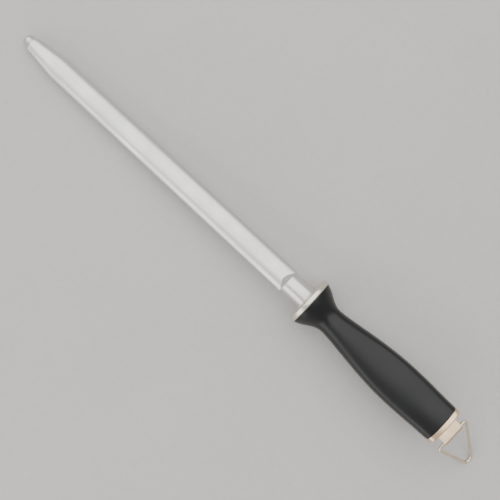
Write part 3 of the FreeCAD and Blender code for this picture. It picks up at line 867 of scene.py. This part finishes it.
@dataclass
class HandleGrip:
    """The moulded handle, laid over the CAD handle ring by ring and then smoothed."""

    ring_count: int = 48
    spacing: float = 3.2 * MM
    edge: float = 0.3 * MM
    reach: float = 24.0 * MM
    end_shares: tuple[float, ...] = (0.96, 0.5, 0.3)
    seam_width: float = 0.22 * MM
    seam_depth: float = 0.12 * MM
    spigot_scale: tuple[float, float] = (0.908, 0.88)
    spigot_length: float = 2.4 * MM

    def build(self) -> bpy.types.Object:
        """Lay a net of rings over the CAD handle, draw it tight and smooth it.

        Returns:
            The handle, dressed.
        """
        start = high("hand_guard").x + SKIN
        end = low("end_cap").x - SKIN
        span = end - start - 2 * self.edge
        count = round(span / self.spacing)
        places = [start + self.edge + span * number / count for number in range(count + 1)]
        places = [start, *places, end]
        rings = [(place, self.reach, self.reach) for place in places]
        grip = Tube("handle_grip_moulded", self.ring_count, rings[0]).grow(rings[1:]).piece
        draw_tight(grip, "handle_grip")
        self.mark_seam(grip)
        flat = [(0.0, share, share) for share in self.end_shares]
        spigot = [(0.0, *self.spigot_scale), (self.spigot_length, 1.0, 1.0)]
        draw_end(grip, start, flat)
        draw_end(grip, end, spigot + flat)
        apply_modifier(grip, "SUBSURF", levels=2, render_levels=2)
        settle(grip, smooth_deg=40.0)
        dress(grip, MOULDED_BLACK)
        return grip

    def mark_seam(self, grip: bpy.types.Object) -> None:
        """Sink the fine line where the mould's halves met, along both sides.

        Args:
            grip: the handle's open net, before it is smoothed.
        """
        take(grip)
        bpy.ops.object.mode_set(mode="EDIT")
        near = SKIN
        pick_edges(grip, lambda a, b: abs(a.z) < near and abs(b.z) < near)
        bpy.ops.mesh.bevel(offset=self.seam_width, segments=2, affect="EDGES")
        pick_verts(grip, lambda at: abs(at.z) < near)
        bpy.ops.transform.shrink_fatten(value=-self.seam_depth)
        let_go()


@dataclass
class EndCap:
    """The pressed steel cup over the handle's end, slotted for the strap."""

    ring_count: int = 96
    reach: float = 24.0 * MM
    wall: float = 1.2 * MM
    edge_steps: tuple[float, ...] = (4.0, 2.5, 1.0, 0.72, 0.48, 0.28, 0.12, 0.03)
    slot_half: tuple[float, float] = (8.95 * MM, 2.53 * MM)
    slot_round: float = 0.5 * MM
    press_round: tuple[float, float] = (0.985, 0.98)
    face_shares: tuple[float, ...] = (0.9, 0.7, 0.5)

    def build(self) -> bpy.types.Object:
        """Press the cup and cut its slot.

        Returns:
            The cap, dressed.
        """
        front = low("end_cap").x
        face = high("end_cap").x
        rings = [(face - step * MM, self.reach, self.reach) for step in self.edge_steps]
        rings[0] = (front + SKIN, self.reach, self.reach)
        cap = Tube("end_cap_pressed", self.ring_count, rings[0]).grow(rings[1:]).piece
        draw_tight(cap, "end_cap")
        gap = self.edge_steps[-1] * MM
        flat = [(0.0, share, share) for share in self.face_shares]
        draw_end(cap, face - gap, [(gap, *self.press_round), *flat])
        settle(cap)
        apply_modifier(cap, "SOLIDIFY", thickness=self.wall, offset=-1.0)
        wide, tall = self.slot_half
        slot = block("slot_tool", (front - self.wall, -wide, -tall), (face + self.wall, wide, tall))
        bevel_edges(slot, lambda a, b: abs(a.x - b.x) > self.wall, self.slot_round, 4)
        combine(cap, slot, "DIFFERENCE")
        settle(cap, smooth_deg=30.0)
        # The sheet finish's peach colour is a painted warm reflection over the plate's pale nickel.
        dress(cap, SHEET_PAINTED_WARM_REFLECTION)
        return cap


@dataclass
class CapScrews:
    """Two domed screws with a driver slot, one each side of the strap."""

    shank: float = 1.3 * MM
    head: float = 2.2 * MM
    rise: float = 1.2 * MM
    slot_half: float = 0.3 * MM
    slot_depth: float = 0.5 * MM
    slot_turns: tuple[float, float] = (0.2, -0.5)
    point_length: float = 2.0 * MM
    point_share: float = 0.125
    skirt_share: float = 0.12
    seat_share: float = 0.97
    dome_steps: int = 8
    turned_count: int = 48

    def build(self) -> bpy.types.Object:
        """Turn both screws.

        Returns:
            The pair in one piece, dressed.
        """
        side = high("cap_screws").y - self.head
        first, second = (self.turn_one(slot_turn) for slot_turn in self.slot_turns)
        for screw, place in ((first, side), (second, -side)):
            screw.location = (0.0, place, 0.0)
        take(first)
        second.select_set(True)
        bpy.ops.object.join()
        settle(first)
        dress(first, NICKEL_PLATE)
        return first

    def turn_one(self, slot_turn: float) -> bpy.types.Object:
        """Turn one screw on the axis and cut its driver slot.

        Args:
            slot_turn: the slot's turn about X, in radians.

        Returns:
            The screw, on the axis.
        """
        root = low("cap_screws").x
        face = high("end_cap").x
        rings = round_rings([
            (root, self.shank * self.point_share), (root + self.point_length, self.shank),
            (face, self.shank), (face, self.head * self.seat_share),
            (face + self.rise * self.skirt_share, self.head),
        ])
        for step in range(1, self.dome_steps):
            angle = math.radians(90.0 * step / self.dome_steps)
            out = self.head * math.cos(angle)
            lift = self.skirt_share + (1.0 - self.skirt_share) * math.sin(angle)
            rings.append((face + self.rise * lift, out, out))
        screw = Tube("cap_screws_domed", self.turned_count, rings[0]).grow(rings[1:]).cap_both()
        floor = face + self.rise - self.slot_depth
        slot = block(
            "slot_tool", (floor, -2 * self.head, -self.slot_half),
            (face + 2 * self.rise, 2 * self.head, self.slot_half),
        )
        slot.rotation_euler = (slot_turn, 0.0, 0.0)
        combine(screw, slot, "DIFFERENCE")
        return settle(screw)


@dataclass
class RingStrap:
    """The strip folded round the ring's wire, its ends turned out behind the cap."""

    thick: float = 1.2 * MM
    wire_space: float = 1.18 * MM
    corner: float = 1.6 * MM
    edge_round: float = 0.32 * MM
    clear: float = 1.0 * MM
    fold_share: float = 0.9995
    fold_steps: int = 14

    def build(self) -> bpy.types.Object:
        """Fold the strip.

        Returns:
            The strap, dressed.
        """
        near = low("ring_strap")
        far = high("ring_strap")
        outer = self.wire_space + self.thick
        wide = far.y
        clear = self.clear
        strap = block("ring_strap_folded", (near.x, -wide, -outer), (far.x, wide, outer))
        self.round_fold(strap, outer)
        tabs = block("tabs", tuple(near), (near.x + self.thick, wide, far.z))
        combine(strap, tabs, "UNION")
        inner = block(
            "wire_space", (near.x - clear, -wide - clear, -self.wire_space),
            (far.x - self.thick, wide + clear, self.wire_space),
        )
        self.round_fold(inner, self.wire_space)
        combine(strap, inner, "DIFFERENCE")
        edge = block("corners", (near.x - clear, -wide, -far.z * 2), (far.x, wide, far.z * 2))
        bevel_edges(
            edge, lambda a, b: min(a.x, b.x) > far.x - TOUCH and abs(a.z - b.z) > clear,
            self.corner, 8,
        )
        combine(strap, edge, "INTERSECT")
        settle(strap)
        apply_modifier(
            strap, "BEVEL", width=self.edge_round, segments=3, limit_method="ANGLE",
            angle_limit=math.radians(50.0),
        )
        settle(strap, smooth_deg=40.0)
        # The sheet finish's peach colour is a painted warm reflection over the plate's pale nickel.
        dress(strap, SHEET_PAINTED_WARM_REFLECTION)
        return strap

    def round_fold(self, piece: bpy.types.Object, radius: float) -> None:
        """Round the far end of a block into half a cylinder across Y.

        Args:
            piece: the block.
            radius: half the block's height, which the fold's radius takes up.
        """
        end = max(vertex.co.x for vertex in piece.data.vertices)
        bevel_edges(
            piece, lambda a, b: min(a.x, b.x) > end - TOUCH and abs(a.y - b.y) > radius,
            radius * self.fold_share, self.fold_steps,
        )


# ------------------------------------------------------------------ studio


@dataclass(frozen=True)
class Lamp:
    """A rectangular soft lamp: where it hangs from the steel's middle, and its power."""

    name: str
    place: Point
    size: tuple[float, float]
    watts: float


@dataclass
class Studio:
    """The pale board, soft lamps and camera, all set out from the lying steel."""

    lens: float = 43.2
    sensor: float = 36.0
    aim: Point = (-55.7 * MM, -2.1 * MM, 0.0)
    distance: float = 449.1 * MM
    lean_deg: float = 5.35
    roll_deg: float = 42.88
    board_side: float = 6.0
    lamps: tuple[Lamp, ...] = (
        Lamp("ceiling_softbox", (-0.25, 0.45, 1.3), (3.4, 2.4), 52.0),
        Lamp("side_softbox", (0.0, -1.2, 0.5), (2.4, 0.9), 16.0),
    )
    room_colour: str = "d8dadc"
    room_strength: float = 0.85

    def table_turn(self) -> tuple[Matrix, float]:
        """How the board is turned under the steel, which lies on guard and tip.

        Returns:
            The board's turn about Y, and its distance below the origin.
        """
        rim = high("hand_guard").z
        rest = high("hand_guard").x / 2
        half = low("steel_rod").x / 2
        points = [vertex.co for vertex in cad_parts["steel_rod"].data.vertices]
        slopes = [math.atan2(rim + point.z, rest - point.x) for point in points if point.x < half]
        slope = min(slopes)
        return Matrix.Rotation(slope, 4, "Y"), rim * math.cos(slope) - rest * math.sin(slope)

    def lay_board(self) -> None:
        """Put the pale board under the steel."""
        turn, drop = self.table_turn()
        let_go()
        bpy.ops.mesh.primitive_plane_add(size=self.board_side)
        board = bpy.context.object
        board.name = "board"
        board.matrix_world = turn @ Matrix.Translation((0, 0, -drop))
        take(board)
        bpy.ops.object.transform_apply(location=True, rotation=True, scale=True)
        dress(board, PALE_BOARD)

    def place_camera(self) -> None:
        """Look almost straight down at the steel, turned to lie from corner to corner."""
        lean = math.radians(self.lean_deg)
        roll = math.radians(self.roll_deg)
        back = Vector((math.sin(lean), 0.0, math.cos(lean)))
        along = Vector((math.cos(lean), 0.0, -math.sin(lean)))
        across = Vector((0.0, 1.0, 0.0))
        right = along * math.cos(roll) + across * math.sin(roll)
        up = across * math.cos(roll) - along * math.sin(roll)
        data = bpy.data.cameras.new("camera")
        data.lens = self.lens
        data.sensor_width = self.sensor
        camera = bpy.data.objects.new("camera", data)
        turn = Matrix((right, up, back)).transposed().to_4x4()
        camera.matrix_world = Matrix.Translation(Vector(self.aim) + back * self.distance) @ turn
        bpy.context.scene.collection.objects.link(camera)
        bpy.context.scene.camera = camera

    def hang_lamp(self, lamp: Lamp) -> None:
        """Hang one soft lamp that faces the steel's middle.

        Args:
            lamp: the lamp's place, size and power.
        """
        data = bpy.data.lights.new(lamp.name, "AREA")
        data.shape = "RECTANGLE"
        data.size, data.size_y = lamp.size
        data.energy = lamp.watts
        hung = bpy.data.objects.new(lamp.name, data)
        place = Vector(lamp.place)
        target = Vector((self.aim[0], 0.0, 0.0))
        facing = (-place).to_track_quat("-Z", "Y").to_matrix().to_4x4()
        hung.matrix_world = Matrix.Translation(place + target) @ facing
        bpy.context.scene.collection.objects.link(hung)

    def light(self) -> None:
        """A wide soft ceiling over the +Y side, a low lamp on the -Y side and an even room."""
        for lamp in self.lamps:
            self.hang_lamp(lamp)
        world = bpy.data.worlds.new("room")
        world.use_nodes = True
        room = world.node_tree.nodes["Background"]
        room.inputs["Color"].default_value = linear(self.room_colour)
        room.inputs["Strength"].default_value = self.room_strength
        bpy.context.scene.world = world

    def set_up(self) -> None:
        """Board, camera and lamps."""
        self.lay_board()
        self.place_camera()
        self.light()


# ------------------------------------------------------------------ main


def mount_piece(piece: bpy.types.Object, body: Body, slot: Slot, *nodes: str) -> None:
    """Let a piece ride on its body and stand for its CAD nodes.

    Args:
        piece: the finished piece.
        body: the body that it rides on.
        slot: the record's material slot; not used.
        nodes: the CAD nodes that it stands for.
    """
    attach(piece, body.value)
    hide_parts(*nodes)
    LOG.info("%s: %d faces on %s", piece.name, len(piece.data.polygons), body.value)


def main() -> None:
    """Build every sub-assembly in turn and report it."""
    logging.basicConfig(level=logging.INFO, format="%(name)s %(message)s")
    Studio().set_up()
    mount_piece(SteelRod().build(), Body.STEEL, Slot.ROD, "steel_rod")
    mount_piece(HandGuard().build(), Body.STEEL, Slot.PLATED, "hand_guard")
    mount_piece(HandleGrip().build(), Body.STEEL, Slot.HANDLE, "handle_grip")
    mount_piece(EndCap().build(), Body.STEEL, Slot.PLATED, "end_cap")
    mount_piece(CapScrews().build(), Body.STEEL, Slot.PLATED, "cap_screws")
    mount_piece(RingStrap().build(), Body.STEEL, Slot.PLATED, "ring_strap")
    dress(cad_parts["hanging_ring"], DRAWN_WIRE)
    dress(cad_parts["tang_washer"], ZINC_PLATE)
    dress(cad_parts["tang_nut"], ZINC_PLATE)


if __name__ == "__main__":
    main()
